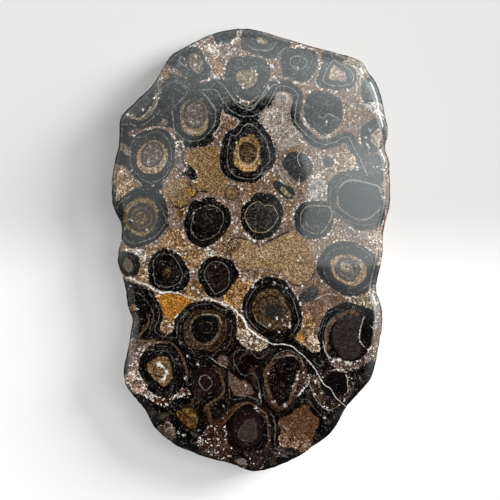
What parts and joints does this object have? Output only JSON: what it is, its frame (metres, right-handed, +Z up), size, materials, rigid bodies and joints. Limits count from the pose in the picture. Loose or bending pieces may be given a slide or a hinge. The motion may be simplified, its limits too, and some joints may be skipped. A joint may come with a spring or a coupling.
{
  "type": "polished stromatolite slab",
  "caption": "Flat freeform slab of columnar stromatolite with a polished face, softly rounded edge, lobed natural side and flat sawn back; lies on its back.",
  "frame": {"origin": "on the surface the slab rests on, under the middle of its outline's box", "axes": "+Z up out of the polished face, +Y along the slab's length towards its broad shoulder end, +X across it"},
  "size_m": [0.139, 0.2208, 0.026],
  "materials": {
    "polished_stromatolite": "mirror polish on the face and rounded edge, dull sawn back"
  },
  "bodies": {
    "root": {"stromatolite_slab": "polished_stromatolite"}
  },
  "joints": []
}
